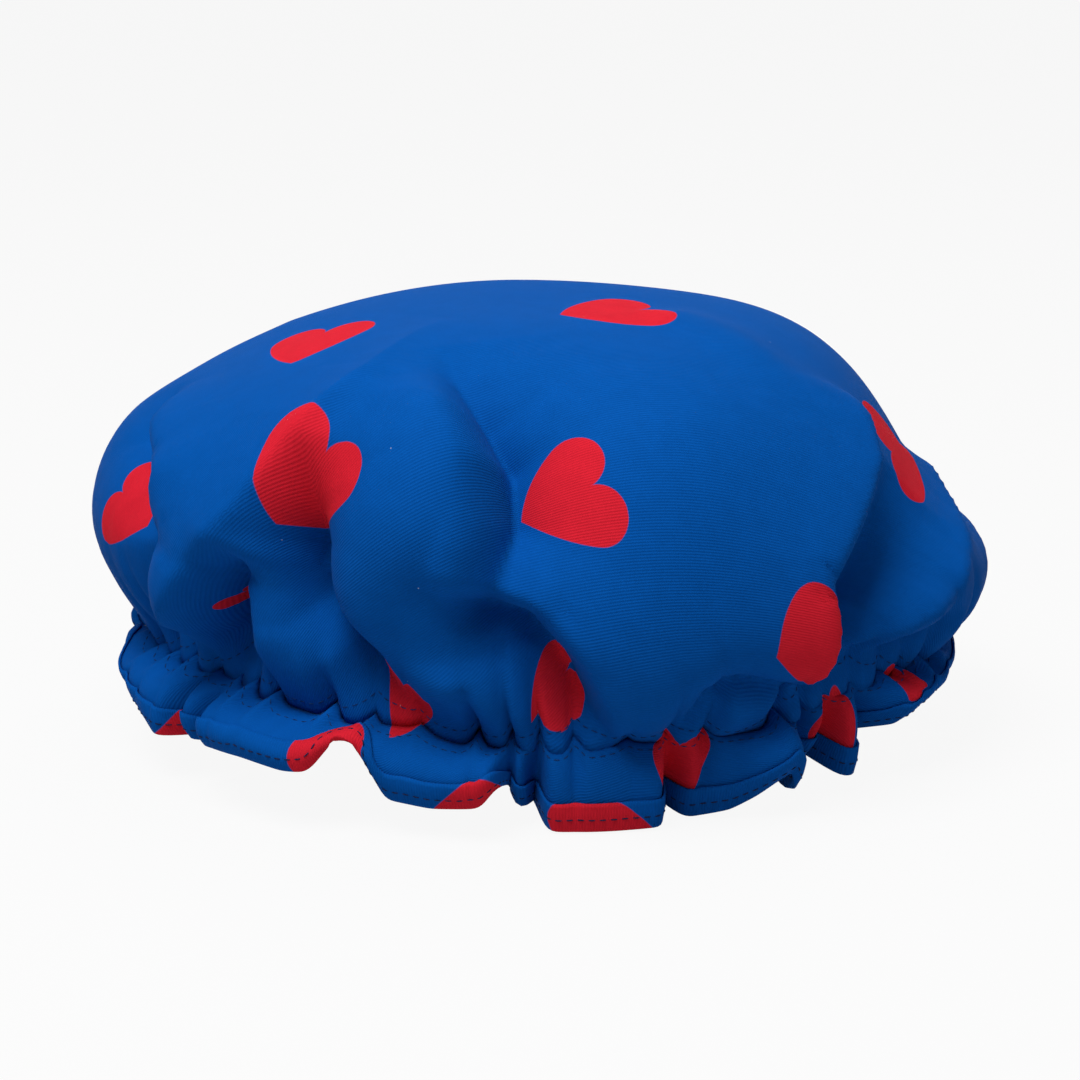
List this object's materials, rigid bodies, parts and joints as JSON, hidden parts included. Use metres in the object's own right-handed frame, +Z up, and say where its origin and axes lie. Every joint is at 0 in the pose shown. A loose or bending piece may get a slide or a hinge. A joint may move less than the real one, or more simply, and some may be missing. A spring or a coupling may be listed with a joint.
{
  "type": "shower cap",
  "caption": "Soft round bouffant shower cap: a puffed, folded crown of printed cloth, gathered by a hidden elastic above a ruffled frill with a bound and stitched edge.",
  "frame": {"origin": "on the floor, under the middle of the cap's bounding box", "axes": "+Z up from the hem to the crown, +X to the cap's right as pictured, -Y to the pictured front"},
  "size_m": [0.2868, 0.2564, 0.1438],
  "materials": {
    "printed_cloth": "finely ribbed satin polyester, blue with scattered red hearts",
    "binding_cloth": "strip of the same printed cloth, folded over the edge",
    "lining_film": "thin pale waterproof lining",
    "navy_thread": "navy sewing thread",
    "white_elastic": "white woven elastic",
    "cotton_tape": "plain off-white tape"
  },
  "bodies": {
    "root": {"crown_cloth": "printed_cloth", "crown_lining": "lining_film", "frill_cloth": "printed_cloth", "frill_lining": "lining_film", "edge_binding": "binding_cloth", "binding_stitching": "navy_thread", "elastic_band": "white_elastic", "elastic_splice_stitching": "navy_thread", "casing_tape": "cotton_tape", "upper_casing_stitching": "navy_thread", "lower_casing_stitching": "navy_thread"}
  },
  "joints": []
}
